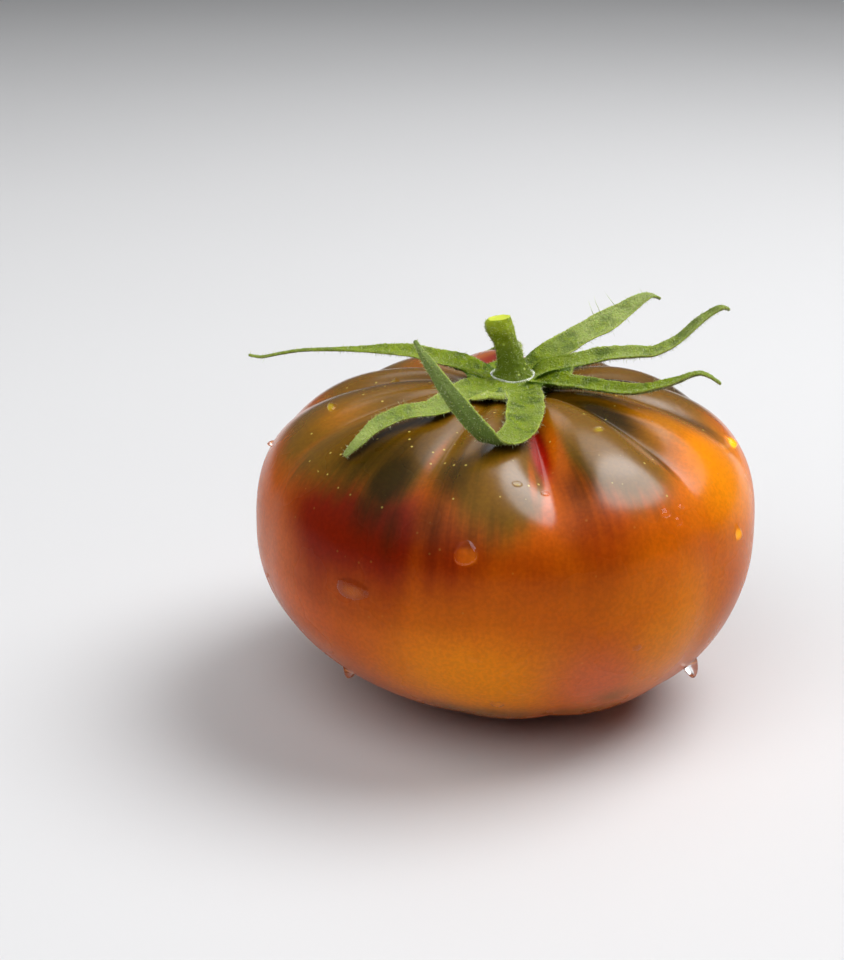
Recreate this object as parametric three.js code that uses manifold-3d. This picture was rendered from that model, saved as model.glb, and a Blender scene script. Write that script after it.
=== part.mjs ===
// A ribbed beefsteak tomato as picked, resting on its flat blossom end, with its calyx and a cut stub of stem.
// Lengths are in millimetres and +Z is up. The origin is the middle of the flat spot that the fruit rests on.
// Azimuths are degrees anticlockwise from +X as seen from above; the polar angle is 0 at the stem end.
import * as THREE from 'three'
import { mergeVertices } from 'three/addons/utils/BufferGeometryUtils.js'
import Module from 'manifold-3d'

const wasm = await Module()
wasm.setup()

const radians = THREE.MathUtils.degToRad
const degrees = THREE.MathUtils.radToDeg

// Driving sizes of the fruit: a flattened berry with square shoulders, a rounder foot and a dimple at the stem
const beltRadius = 44.4
const beltHeight = 31.4
const crownRise = 25.9
const footDepth = 32.1
const crownPower = 0.7
const footPower = 0.98
const dimpleDepth = 2.2
const dimpleRadius = 10

// The body leans to -X above its foot, and its crown sits a little to the back
const lean = 5
const leanHeight = 25
const crownShift = { x: 1, y: 3, spread: 32 }

// Furrows between the lobes: azimuth, depth on the shoulder and half width in degrees
const furrows = [
  { azimuth: -78, depth: 3.4, halfWidth: 8 },
  { azimuth: -111, depth: 1.7, halfWidth: 7 },
  { azimuth: -39, depth: 2.6, halfWidth: 7.5 },
  { azimuth: -9, depth: 1.7, halfWidth: 8 },
  { azimuth: 21, depth: 1.7, halfWidth: 8 },
  { azimuth: 48, depth: 1.9, halfWidth: 8 },
  { azimuth: 81, depth: 2.1, halfWidth: 8 },
  { azimuth: 108, depth: 1.6, halfWidth: 8 },
  { azimuth: 141, depth: 1.7, halfWidth: 8 },
  { azimuth: 168, depth: 1.7, halfWidth: 8 },
  { azimuth: -156, depth: 1.3, halfWidth: 8 }
]
const furrowSharpness = 1.5
const lobeSwell = 0.5
const poleFadeSine = 0.15

// How strongly the furrows show down the side: share of their depth, polar angle of the peak and its spread
const furrowZones = [
  { share: 1, angle: 30, spread: 28 },
  { share: 0.18, angle: 95, spread: 45 },
  { share: 0.12, angle: 150, spread: 20 }
]
const fruitColumns = 120
const fruitRings = 32

// Clearances between pieces that touch
const seatGap = 0.5
const stemGap = 0.3

// Calyx: a disc under the stem, as an outline of radius and height
const crownMiddle = { x: crownShift.x - lean, y: crownShift.y }
const discTop = 57.7
const discOutline = [[0, 53.5], [9.2, 54.8], [9.8, 56.2], [8.6, 57], [5.6, 57.6], [0, discTop]]
const discSides = 30

// Sepals: each a list of stations from root to tip. A station is the reach from the crown's middle, the height,
// the azimuth, the half width, and the roll in degrees, which lifts the edge on the left as seen from the stem.
const sepals = [
  // Long and thin, to the left
  [[4.4, 57, 172, 2.3, -5], [8.3, 58.8, 172, 3.1, -8], [12.9, 60, 174, 2.5, -12], [18.3, 61.3, 176, 1.9, -15],
    [23, 61.8, 178, 1.5, -15], [30.2, 62, 179, 0.8, -6], [36.7, 61.8, 179, 0.5, 0], [41.1, 61.3, 180, 0.42, 0],
    [44.5, 60.4, 179, 0.38, 0], [46.9, 60.7, 179, 0.3, 0]],
  // Over the left front shoulder
  [[4.4, 57, -131, 2.2, 0], [8, 57.7, -130, 2.7, -8], [12, 57.9, -129, 2.5, -14], [22, 57.7, -124, 2.2, -20],
    [26.4, 57.8, -128, 1.9, -20], [28.4, 57.5, -131, 1.7, -20], [33, 56.3, -133, 1.4, -20],
    [37.2, 54.4, -133, 1, -18], [39, 52.2, -135, 0.4, -15]],
  // To the front, then curling up and back
  [[4.4, 56.9, -80, 2.4, 0], [8, 57.4, -80, 3.2, 0], [12, 57.7, -80, 3.2, 0], [20, 57.4, -84, 3.1, 0],
    [25.5, 56.5, -87, 2.8, -5], [29.5, 55.9, -92, 2.2, -8], [31.8, 56.6, -96, 1.9, -8], [32.5, 59, -100, 1.8, -5],
    [32.2, 62, -105, 1.7, 0], [31.2, 65.1, -111, 1.4, 0], [30, 68, -117, 1, 0], [27.5, 70.6, -126, 0.35, 0]],
  // Broad, up and out to the right back
  [[4.4, 57, 50, 2.4, 0], [7.9, 58.8, 45, 3.1, 5], [15.4, 61.3, 43, 2.9, 10], [20.7, 62.8, 41, 2.9, 12],
    [25.3, 64.5, 40, 2.4, 12], [30.7, 67.4, 37, 1.3, 5], [32.9, 67, 35, 0.35, 0]],
  // Slim, up and out to the right
  [[4.4, 57, 8, 2.4, 0], [6.5, 58.4, 8, 2.9, 5], [11, 59.5, 6, 2.6, 8], [16.5, 60.5, 9, 2.4, 10],
    [21.8, 60.9, 8, 2.1, 10], [25.3, 61.1, 8, 1.8, 10], [29.4, 62.7, 10, 1.5, 10], [35, 66.8, 12, 1.1, 10],
    [37.4, 68.7, 10, 0.8, 5], [38.8, 68.4, 10, 0.35, 0]],
  // Low, to the right front
  [[4.4, 57, -36, 2.2, 0], [9.7, 57.7, -31, 2.5, 5], [14.9, 57.9, -27, 2.1, 10], [22.8, 58.2, -26, 1.8, 10],
    [28.6, 59.7, -20, 1.3, 10], [32.5, 61.4, -17, 0.8, 5], [34.7, 61.4, -17, 0.55, 0], [36.9, 60, -16, 0.32, 0]],
  // Straight behind the stem, lying down the back
  [[4.4, 57, 91, 1.8, 0], [8, 57.7, 91, 2.1, 0], [14, 57.8, 91, 2, 0], [20, 57.2, 91, 1.9, 0], [26, 56, 92, 1.5, 0],
    [31, 54.1, 93, 1.1, 0], [34.5, 51.8, 97, 0.7, 0], [36, 50.2, 102, 0.35, 0]]
]
const sepalEdge = 0.62
const sepalMiddle = 0.95
const channelShare = 0.22
const stepsPerStation = 2
const acrossSteps = 4

// Stem stub: stations of its middle line from the cut down to the foot, which stands clear of the disc
const stemLine = [
  { x: -7.1, y: 2.6, z: 67.9, radius: 2.6 },
  { x: -6.4, y: 2.8, z: 66.3, radius: 2.3 },
  { x: -5.4, y: 3, z: 63.9, radius: 2.15 },
  { x: -4.6, y: 3, z: 61.4, radius: 2.3 },
  { x: -4.1, y: 3, z: 59.4, radius: 2.75 },
  { x: crownMiddle.x, y: crownMiddle.y, z: discTop + stemGap, radius: 3.5 }
]
const cutNormal = new THREE.Vector3(-0.36, 0.06, 0.93).normalize()
const cutReach = 0.45
const stemSides = 16
const stemSteps = 12

// The smooth body under the lobes: radius and height at a polar angle
function profileAt (polar) {
  const up = Math.cos(polar)
  const top = up >= 0
  const power = top ? crownPower : footPower
  const radius = beltRadius * Math.max(Math.sin(polar), 0) ** power
  const rise = top ? crownRise * up ** power : -footDepth * (-up) ** power
  const dimple = top ? dimpleDepth * Math.exp(-((radius / dimpleRadius) ** 2)) : 0
  return { radius, height: beltHeight + rise - dimple }
}

// How far the skin stands out from the smooth body: lobes swell, furrows cut in
function lobeHeight (azimuth, polar) {
  const fullTurn = 360
  let height = lobeSwell
  for (const furrow of furrows) {
    const turn = THREE.MathUtils.euclideanModulo(azimuth - furrow.azimuth + fullTurn / 2, fullTurn) - fullTurn / 2
    height -= furrow.depth * Math.exp(-(Math.abs(turn / furrow.halfWidth) ** furrowSharpness))
  }
  let strength = 0
  for (const zone of furrowZones) {
    strength += zone.share * Math.exp(-(((degrees(polar) - zone.angle) / zone.spread) ** 2))
  }
  const poleFade = Math.min(Math.sin(polar) / poleFadeSine, 1)
  return height * strength * poleFade
}

// A point of the skin, lifted off it by a clearance along the smooth body's normal
function skinPoint (azimuth, polar, clearance = 0) {
  const step = 0.001
  const here = profileAt(polar)
  const before = profileAt(polar - step)
  const after = profileAt(polar + step)
  const along = new THREE.Vector2(after.radius - before.radius, after.height - before.height).normalize()
  const lift = lobeHeight(azimuth, polar) + clearance
  const radius = here.radius - along.y * lift
  const height = here.height + along.x * lift
  const low = THREE.MathUtils.clamp(1 - height / leanHeight, 0, 1)
  const crown = Math.exp(-((degrees(polar) / crownShift.spread) ** 2))
  return new THREE.Vector3(
    radius * Math.cos(radians(azimuth)) - lean * (1 - low * low) + crownShift.x * crown,
    radius * Math.sin(radians(azimuth)) + crownShift.y * crown,
    Math.max(height, -clearance)
  )
}

// A closed solid through rings of points, fanned shut at both ends. Each ring runs anticlockwise
// as seen when looking from the first end to the last; flipped sides are split along their other diagonal.
function loftSolid (firstEnd, rings, lastEnd, flipped = () => false) {
  const count = rings[0].length
  const points = [firstEnd, ...rings.flat(), lastEnd]
  const lastPoint = points.length - 1
  const lastRing = rings.length - 1
  const at = (ring, side) => 1 + ring * count + (side % count)
  const index = []
  for (let side = 0; side < count; side++) {
    index.push(0, at(0, side), at(0, side + 1))
    index.push(at(lastRing, side), lastPoint, at(lastRing, side + 1))
    for (let ring = 0; ring < lastRing; ring++) {
      const a = at(ring, side)
      const b = at(ring, side + 1)
      const c = at(ring + 1, side + 1)
      const d = at(ring + 1, side)
      if (flipped(side)) index.push(a, d, b, d, c, b)
      else index.push(a, d, c, a, c, b)
    }
  }
  const geometry = new THREE.BufferGeometry()
  geometry.setAttribute('position', new THREE.Float32BufferAttribute(points.flatMap(p => p.toArray()), 3))
  geometry.setIndex(index)
  return geometry
}

function makeFruit (clearance = 0) {
  const nearPole = 0.001
  const rings = []
  for (let ring = 1; ring < fruitRings; ring++) {
    const polar = Math.PI * ring / fruitRings
    const points = []
    for (let column = 0; column < fruitColumns; column++) {
      points.push(skinPoint(360 * column / fruitColumns, polar, clearance))
    }
    rings.push(points)
  }
  return loftSolid(skinPoint(0, nearPole, clearance), rings, skinPoint(0, Math.PI - nearPole, clearance))
}

// A value of a list of stations at a share of the way along it, from one column or a named field
function valueAlong (stations, field, share) {
  const place = share * (stations.length - 1)
  const low = Math.min(Math.floor(place), stations.length - 2)
  return THREE.MathUtils.lerp(stations[low][field], stations[low + 1][field], place - low)
}

// One sepal: a channelled blade, thickest along its middle, whose middle line runs through the stations
function makeSepal (stations) {
  const line = new THREE.CatmullRomCurve3(stations.map(([reach, height, azimuth]) => new THREE.Vector3(
    crownMiddle.x + reach * Math.cos(radians(azimuth)),
    crownMiddle.y + reach * Math.sin(radians(azimuth)),
    height
  )))
  const steps = (stations.length - 1) * stepsPerStation
  const middles = []
  const rings = []
  for (let step = 0; step <= steps; step++) {
    const share = step / steps
    const middle = line.getPoint(share)
    const along = line.getTangent(share)
    const azimuth = radians(valueAlong(stations, 2, share))
    const halfWidth = valueAlong(stations, 3, share)
    const roll = radians(valueAlong(stations, 4, share))
    const left = new THREE.Vector3(-Math.sin(azimuth), Math.cos(azimuth), 0)
    left.addScaledVector(along, -left.dot(along)).normalize()
    left.applyAxisAngle(along, roll)
    const up = new THREE.Vector3().crossVectors(along, left)
    const bladePoint = (across, face) => {
      const channel = halfWidth * channelShare * across * across
      const thickness = THREE.MathUtils.lerp(sepalMiddle, sepalEdge, Math.abs(across))
      const point = middle.clone().addScaledVector(left, across * halfWidth)
      return point.addScaledVector(up, channel + face * thickness / 2)
    }
    const upperFace = []
    const lowerFace = []
    for (let k = 0; k <= acrossSteps; k++) {
      const across = -1 + 2 * k / acrossSteps
      upperFace.push(bladePoint(across, 1))
      lowerFace.unshift(bladePoint(across, -1))
    }
    middles.push(middle)
    rings.push([...upperFace, ...lowerFace])
  }
  return loftSolid(middles[0], rings, middles[steps], side => side > acrossSteps)
}

function makeDisc () {
  const outline = discOutline.map(([radius, height]) => new THREE.Vector2(radius, height))
  const disc = new THREE.LatheGeometry(outline, discSides)
  disc.rotateX(Math.PI / 2)
  disc.translate(crownMiddle.x, crownMiddle.y, 0)
  return disc
}

function toManifold (geometry) {
  const tolerance = 0.0001
  const bare = geometry.clone()
  bare.deleteAttribute('normal')
  bare.deleteAttribute('uv')
  const merged = mergeVertices(bare, tolerance)
  return new wasm.Manifold(new wasm.Mesh({
    numProp: 3,
    vertProperties: new Float32Array(merged.attributes.position.array),
    triVerts: new Uint32Array(merged.index.array)
  }))
}

function toGeometry (solid) {
  const mesh = solid.getMesh()
  const geometry = new THREE.BufferGeometry()
  geometry.setAttribute('position', new THREE.BufferAttribute(new Float32Array(mesh.vertProperties), 3))
  geometry.setIndex(new THREE.BufferAttribute(new Uint32Array(mesh.triVerts), 1))
  return geometry
}

// The disc and sepals joined, then cut clear of the fruit; loose scraps are dropped
function makeCalyx () {
  let whole = toManifold(makeDisc())
  for (const stations of sepals) whole = whole.add(toManifold(makeSepal(stations)))
  const seated = whole.subtract(toManifold(makeFruit(seatGap)))
  const bodies = seated.decompose()
  bodies.sort((one, other) => other.volume() - one.volume())
  return toGeometry(bodies[0])
}

// The stub: round sections that tilt from level at the foot to the slanted cut at the top
function makeStem () {
  const line = new THREE.CatmullRomCurve3(stemLine.map(({ x, y, z }) => new THREE.Vector3(x, y, z)))
  const level = new THREE.Vector3(0, 0, 1)
  const middles = []
  const rings = []
  for (let step = 0; step <= stemSteps; step++) {
    const share = step / stemSteps
    const middle = line.getPoint(share)
    const radius = valueAlong(stemLine, 'radius', share)
    const slant = Math.max(1 - share / cutReach, 0)
    const normal = level.clone().lerp(cutNormal, slant).normalize()
    const right = new THREE.Vector3(0, 1, 0).cross(normal).normalize()
    const back = new THREE.Vector3().crossVectors(normal, right)
    const ring = []
    for (let k = 0; k < stemSides; k++) {
      const turn = 2 * Math.PI * k / stemSides
      const point = middle.clone().addScaledVector(right, radius * Math.cos(turn))
      ring.push(point.addScaledVector(back, radius * Math.sin(turn)))
    }
    middles.push(middle)
    rings.push(ring)
  }
  return loftSolid(middles[0], rings, middles[stemSteps])
}

const group = new THREE.Group()

function addPiece (name, geometry, colour, roughness) {
  geometry.computeVertexNormals()
  const material = new THREE.MeshStandardMaterial({ color: colour, roughness, metalness: 0 })
  const piece = new THREE.Mesh(geometry, material)
  piece.name = name
  group.add(piece)
}

addPiece('fruit', makeFruit(), '#b4560f', 0.22)
addPiece('calyx', makeCalyx(), '#7f9c35', 0.65)
addPiece('stem', makeStem(), '#6f8420', 0.6)

export default group
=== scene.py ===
"""A ribbed beefsteak tomato with its calyx and cut stem, wet from washing, on a pale floor.

Lengths in the named values are millimetres, as in the part's source, and the meshes are built in metres.
Azimuths are degrees anticlockwise from +X as seen from above; the polar angle is 0 at the stem end.
"""
import math

import bpy
import numpy as np
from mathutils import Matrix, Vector, kdtree, noise


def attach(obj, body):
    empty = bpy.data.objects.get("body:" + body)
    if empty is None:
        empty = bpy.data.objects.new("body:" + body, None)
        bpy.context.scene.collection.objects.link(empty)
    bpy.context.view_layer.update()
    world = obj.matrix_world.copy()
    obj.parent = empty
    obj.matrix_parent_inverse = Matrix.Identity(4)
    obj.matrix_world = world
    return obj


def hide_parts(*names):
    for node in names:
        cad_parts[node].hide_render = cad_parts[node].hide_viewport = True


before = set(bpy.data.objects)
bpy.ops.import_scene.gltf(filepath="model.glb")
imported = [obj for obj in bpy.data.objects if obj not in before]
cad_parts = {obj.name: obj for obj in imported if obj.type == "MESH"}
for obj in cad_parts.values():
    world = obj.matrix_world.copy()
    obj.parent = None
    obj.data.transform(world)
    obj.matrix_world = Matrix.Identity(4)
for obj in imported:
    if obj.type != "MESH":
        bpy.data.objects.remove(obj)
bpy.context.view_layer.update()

MM = 0.001

# Driving sizes of the fruit, the same as the solid's
BELT_RADIUS = 44.4
BELT_HEIGHT = 31.4
CROWN_RISE = 25.9
FOOT_DEPTH = 32.1
CROWN_POWER = 0.7
FOOT_POWER = 0.98
DIMPLE_DEPTH = 2.2
DIMPLE_RADIUS = 10
LEAN = 5
LEAN_HEIGHT = 25
CROWN_SHIFT = (1, 3)
CROWN_SPREAD = 32

# Furrows: azimuth, depth on the shoulder and half width in degrees
FURROWS = (
    (-78, 3.4, 8), (-111, 1.7, 7), (-39, 2.6, 7.5), (-9, 1.7, 8), (21, 1.7, 8), (48, 1.9, 8),
    (81, 2.1, 8), (108, 1.6, 8), (141, 1.7, 8), (168, 1.7, 8), (-156, 1.3, 8),
)
FURROW_SHARPNESS = 1.5
LOBE_SWELL = 0.5
POLE_FADE_SINE = 0.15

# How strongly the furrows show down the side: share, polar angle of the peak, spread
FURROW_ZONES = ((1, 30, 28), (0.18, 95, 45), (0.12, 150, 20))

SKIN_COLUMNS = 360
SKIN_RINGS = 230

# The crown's middle, where the stem stands, and the height of the calyx there
CROWN = (CROWN_SHIFT[0] - LEAN, CROWN_SHIFT[1])
DISC_TOP = 57.7

# Sepals as stations from root to tip: reach, height, azimuth, half width, roll
SEPALS = {
    "long_left": (
        (4.4, 57, 172, 2.3, -5), (8.3, 58.8, 172, 3.1, -8), (12.9, 60, 174, 2.5, -12),
        (18.3, 61.3, 176, 1.9, -15), (23, 61.8, 178, 1.5, -15), (30.2, 62, 179, 0.8, -6),
        (36.7, 61.8, 179, 0.5, 0), (41.1, 61.3, 180, 0.42, 0), (44.5, 60.4, 179, 0.38, 0),
        (46.9, 60.7, 179, 0.3, 0)),
    "left_shoulder": (
        (4.4, 57, -131, 2.2, 0), (8, 57.7, -130, 2.7, -8), (12, 57.9, -129, 2.5, -14),
        (22, 57.7, -124, 2.2, -20), (26.4, 57.8, -128, 1.9, -20), (28.4, 57.5, -131, 1.7, -20),
        (33, 56.3, -133, 1.4, -20), (37.2, 54.4, -133, 1, -18), (39, 52.2, -135, 0.4, -15)),
    "front_curl": (
        (4.4, 56.9, -80, 2.4, 0), (8, 57.4, -80, 3.2, 0), (12, 57.7, -80, 3.2, 0),
        (20, 57.4, -84, 3.1, 0), (25.5, 56.5, -87, 2.8, -5), (29.5, 55.9, -92, 2.2, -8),
        (31.8, 56.6, -96, 1.9, -8), (32.5, 59, -100, 1.8, -5), (32.2, 62, -105, 1.7, 0),
        (31.2, 65.1, -111, 1.4, 0), (30, 68, -117, 1, 0), (27.5, 70.6, -126, 0.35, 0)),
    "broad_right_back": (
        (4.4, 57, 50, 2.4, 0), (7.9, 58.8, 45, 3.1, 5), (15.4, 61.3, 43, 2.9, 10),
        (20.7, 62.8, 41, 2.9, 12), (25.3, 64.5, 40, 2.4, 12), (30.7, 67.4, 37, 1.3, 5),
        (32.9, 67, 35, 0.35, 0)),
    "slim_right": (
        (4.4, 57, 8, 2.4, 0), (6.5, 58.4, 8, 2.9, 5), (11, 59.5, 6, 2.6, 8), (16.5, 60.5, 9, 2.4, 10),
        (21.8, 60.9, 8, 2.1, 10), (25.3, 61.1, 8, 1.8, 10), (29.4, 62.7, 10, 1.5, 10),
        (35, 66.8, 12, 1.1, 10), (37.4, 68.7, 10, 0.8, 5), (38.8, 68.4, 10, 0.35, 0)),
    "low_right_front": (
        (4.4, 57, -36, 2.2, 0), (9.7, 57.7, -31, 2.5, 5), (14.9, 57.9, -27, 2.1, 10),
        (22.8, 58.2, -26, 1.8, 10), (28.6, 59.7, -20, 1.3, 10), (32.5, 61.4, -17, 0.8, 5),
        (34.7, 61.4, -17, 0.55, 0), (36.9, 60, -16, 0.32, 0)),
    "down_the_back": (
        (4.4, 57, 91, 1.8, 0), (8, 57.7, 91, 2.1, 0), (14, 57.8, 91, 2, 0), (20, 57.2, 91, 1.9, 0),
        (26, 56, 92, 1.5, 0), (31, 54.1, 93, 1.1, 0), (34.5, 51.8, 97, 0.7, 0), (36, 50.2, 102, 0.35, 0)),
}

# How pale each sepal is painted, as painted light shining through the thin blade
LIT_THROUGH_PALENESS = {
    "long_left": 0.1, "left_shoulder": 0.5, "front_curl": 0.15, "broad_right_back": 0.8, "slim_right": 0.4,
    "low_right_front": 0.0, "down_the_back": 0.3,
}

# How deeply each sepal is channelled, as a share of its half width
CHANNELS = {
    "long_left": 0.34, "left_shoulder": 0.24, "front_curl": 0.2, "broad_right_back": 0.3, "slim_right": 0.46,
    "low_right_front": 0.5, "down_the_back": 0.3,
}

# Webs that join the sepals round the stem: azimuth and how far out the web's edge lies
WEB_EDGE = (
    (-180, 10.6), (-165, 8.6), (-150, 9), (-138, 12.5), (-128, 14), (-118, 15), (-108, 12.8), (-96, 14),
    (-80, 12), (-66, 10.8), (-52, 8.4), (-42, 9), (-34, 11), (-22, 10.8), (-13, 10.8), (-4, 11),
    (8, 11.4), (18, 10.8), (28, 10.2), (38, 10.8), (50, 11.4), (62, 9), (71, 7.8), (80, 9), (91, 10),
    (104, 8.6), (130, 7.2), (156, 9), (172, 10.6), (180, 10.6),
)
WEB_SIDES = 240
WEB_SAG = 0.3
WEB_RIPPLE = 0.14
WEB_THICKNESS = 0.62
BED_DEPTH = 3.2

# Widest half angle of a sepal seen from the stem, and the reach at which sepals start
WIDEST_SPREAD = 17
ROOT_REACH = 4.4

# Stem stub, from the foot up: x, y, z and radius of its middle line
STEM_LINE = (
    (-4, 3, 57.3, 3.9), (-4, 3, 58, 3.45), (-4.1, 3, 59.4, 2.75), (-4.6, 3, 61.4, 2.3),
    (-5.4, 3, 63.9, 2.15), (-6.35, 2.8, 66.2, 2.5), (-6.6, 2.7, 67.4, 2.4), (-6.5, 2.6, 68.5, 1.9),
)
CUT_NORMAL = Vector((-0.15, 0.04, 0.99)).normalized()
LIP_SWELL = 0.1

# The face of the cut, from rim to middle: share of the rim's radius and height over it
CUT_FACE = ((0.96, 0.05), (0.9, 0.06), (0.84, 0.0), (0.7, -0.12), (0.5, -0.2), (0.3, -0.16), (0.12, -0.1))

# The photograph's frame and view
FRAME_WIDTH = 844
FRAME_HEIGHT = 960
VIEW_DISTANCE = 350
VIEW_ELEVATION = math.radians(22)
FRUIT_WIDTH = 90
FRUIT_WIDTH_PIXELS = 499
AIM = (-LEAN, 0, 30)
AIM_PIXEL = (504.5, 528)
SENSOR_HEIGHT = 36
NEAREST_SEEN = 0.01


# Shapes

def profile(polar):
    """Radius and height of the smooth body under the lobes."""
    up = np.cos(polar)
    side = np.maximum(np.sin(polar), 0)
    top = up >= 0
    radius = BELT_RADIUS * np.where(top, side ** CROWN_POWER, side ** FOOT_POWER)
    rise = np.where(top, CROWN_RISE * np.abs(up) ** CROWN_POWER, -FOOT_DEPTH * np.abs(up) ** FOOT_POWER)
    dimple = np.where(top, DIMPLE_DEPTH * np.exp(-(radius / DIMPLE_RADIUS) ** 2), 0)
    return radius, BELT_HEIGHT + rise - dimple


def turn_between(azimuth, other):
    """Signed angle from one azimuth to another, between -180 and 180 degrees."""
    return (azimuth - other + 180) % 360 - 180


def lobe_height(azimuth, polar):
    """How far the skin stands out from the smooth body."""
    height = LOBE_SWELL
    for at, depth, half_width in FURROWS:
        turn = np.abs(turn_between(azimuth, at) / half_width)
        height = height - depth * np.exp(-turn ** FURROW_SHARPNESS)
    strength = 0
    for share, angle, spread in FURROW_ZONES:
        strength = strength + share * np.exp(-((np.degrees(polar) - angle) / spread) ** 2)
    return height * strength * np.minimum(np.sin(polar) / POLE_FADE_SINE, 1)


def skin_point(azimuth, polar_degrees):
    """Points of the skin in millimetres."""
    azimuth = np.asarray(azimuth, float)
    polar = np.radians(np.asarray(polar_degrees, float))
    step = 0.001
    radius, height = profile(polar)
    radius_before, height_before = profile(polar - step)
    radius_after, height_after = profile(polar + step)
    along_r = radius_after - radius_before
    along_z = height_after - height_before
    length = np.hypot(along_r, along_z)
    out = lobe_height(azimuth, polar)
    radius = radius - along_z / length * out
    height = height + along_r / length * out
    low = np.clip(1 - height / LEAN_HEIGHT, 0, 1)
    crown = np.exp(-(np.degrees(polar) / CROWN_SPREAD) ** 2)
    turn = np.radians(azimuth)
    return np.stack([
        radius * np.cos(turn) - LEAN * (1 - low * low) + CROWN_SHIFT[0] * crown,
        radius * np.sin(turn) + CROWN_SHIFT[1] * crown,
        np.maximum(height, 0),
    ], -1)


def skin_normal(azimuth, polar_degrees):
    """Outward normals of the skin."""
    step = 0.2
    azimuth = np.asarray(azimuth, float)
    polar_degrees = np.asarray(polar_degrees, float)
    across = skin_point(azimuth + step, polar_degrees) - skin_point(azimuth - step, polar_degrees)
    down = skin_point(azimuth, polar_degrees + step) - skin_point(azimuth, polar_degrees - step)
    normal = np.cross(down, across)
    return normal / np.maximum(np.linalg.norm(normal, axis=-1, keepdims=True), 1e-9)


def spline(stations, share):
    """Smooth values of every column of a list of stations, at shares from 0 to 1 along it."""
    table = np.array(stations, float)
    last = len(table) - 1
    place = np.clip(np.asarray(share, float), 0, 1) * last
    low = np.minimum(place.astype(int), last - 1)
    t = (place - low)[..., None]
    before = table[np.maximum(low - 1, 0)]
    start = table[low]
    end = table[low + 1]
    after = table[np.minimum(low + 2, last)]
    return 0.5 * (2 * start + (end - before) * t + (2 * before - 5 * start + 4 * end - after) * t ** 2
                  + (3 * start - before - 3 * end + after) * t ** 3)


def unit(rows):
    """The rows of an array as directions of length one."""
    return rows / np.linalg.norm(rows, axis=1, keepdims=True)


def from_crown(reach, turn, height):
    """Points at a reach and an angle in radians from the crown's middle."""
    return np.stack([CROWN[0] + reach * np.cos(turn), CROWN[1] + reach * np.sin(turn), height], -1)


def ripple(points, scale, seed):
    """Soft noise between about -1 and 1 at points in millimetres, scale in waves per millimetre."""
    offset = Vector((seed * 17.3, seed * 5.1, seed * 9.7))
    flat = np.asarray(points, float).reshape(-1, 3)
    values = [noise.noise(Vector(p) * scale + offset) for p in flat]
    return np.array(values).reshape(np.shape(points)[:-1])


# Meshes

def new_piece(name, points_mm, faces, smooth=True):
    """An object from points in millimetres."""
    mesh = bpy.data.meshes.new(name)
    mesh.from_pydata((np.asarray(points_mm) * MM).tolist(), [], faces)
    mesh.validate()
    mesh.update()
    if smooth:
        mesh.shade_smooth()
    piece = bpy.data.objects.new(name, mesh)
    bpy.context.scene.collection.objects.link(piece)
    return piece


def loft_faces(rings, sides):
    """Faces through rings of points between a first and a last end point."""
    faces = []
    last = rings * sides + 1
    for side in range(sides):
        after = (side + 1) % sides
        faces.append((0, 1 + side, 1 + after))
        base = 1 + (rings - 1) * sides
        faces.append((base + side, last, base + after))
        for ring in range(rings - 1):
            a = 1 + ring * sides
            b = a + sides
            faces.append((a + side, b + side, b + after, a + after))
    return faces


def join_meshes(name, parts):
    """One object from several lists of points and faces."""
    points = []
    faces = []
    for part_points, part_faces in parts:
        start = len(points)
        points.extend(part_points)
        faces.extend(tuple(start + i for i in face) for face in part_faces)
    return new_piece(name, np.array(points), faces)


def mark(mesh, name, values):
    """A number for every vertex, which a material can read."""
    attribute = mesh.attributes.new(name, "FLOAT", "POINT")
    attribute.data.foreach_set("value", np.asarray(values, np.float32).ravel())


def read_attribute(mesh, name):
    """The numbers that a mesh holds for its vertices."""
    values = np.empty(len(mesh.vertices), np.float32)
    mesh.attributes[name].data.foreach_get("value", values)
    return values


def vertex_points(mesh):
    """The mesh's vertices in millimetres."""
    values = np.empty(len(mesh.vertices) * 3, np.float32)
    mesh.vertices.foreach_get("co", values)
    return values.reshape(-1, 3) / MM


def carry(piece, slot, material, *replaced):
    """The piece wears a material, rides on the one body and stands for the nodes it replaces."""
    piece.data.materials.append(material)
    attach(piece, "root")
    if replaced:
        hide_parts(*replaced)


# Nodes

def add_node(tree, kind, inputs=None, **settings):
    """A node with its settings, and its inputs set or linked by name or number."""
    made = tree.nodes.new("ShaderNode" + kind)
    for name, value in settings.items():
        setattr(made, name, value)
    for name, value in (inputs or {}).items():
        if isinstance(value, bpy.types.NodeSocket):
            tree.links.new(value, made.inputs[name])
        else:
            made.inputs[name].default_value = value
    return made


def compute(tree, operation, first, second=0.0, third=0.0):
    """One step of arithmetic."""
    made = add_node(tree, "Math", {0: first, 1: second, 2: third}, operation=operation)
    return made.outputs[0]


def times(tree, first, second):
    """The product of two numbers."""
    return compute(tree, "MULTIPLY", first, second)


def blend(tree, factor, first, second, kind="MIX"):
    """A mix of two colours."""
    made = add_node(tree, "Mix", {0: factor, 6: first, 7: second}, data_type="RGBA", blend_type=kind)
    return made.outputs[2]


def lay(tree, colour, *layers):
    """A colour under others, each laid on by its own mask."""
    for mask, paint in layers:
        colour = blend(tree, mask, colour, paint)
    return colour


def ramp(tree, value, low, high, to_low=0.0, to_high=1.0):
    """A value mapped smoothly from one range to another."""
    made = add_node(tree, "MapRange", {0: value, 1: low, 2: high, 3: to_low, 4: to_high},
                    interpolation_type="SMOOTHSTEP")
    return made.outputs[0]


def stored(tree, name):
    """The number that a mesh holds for every vertex under that name."""
    return add_node(tree, "Attribute", attribute_name=name).outputs["Fac"]


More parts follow.
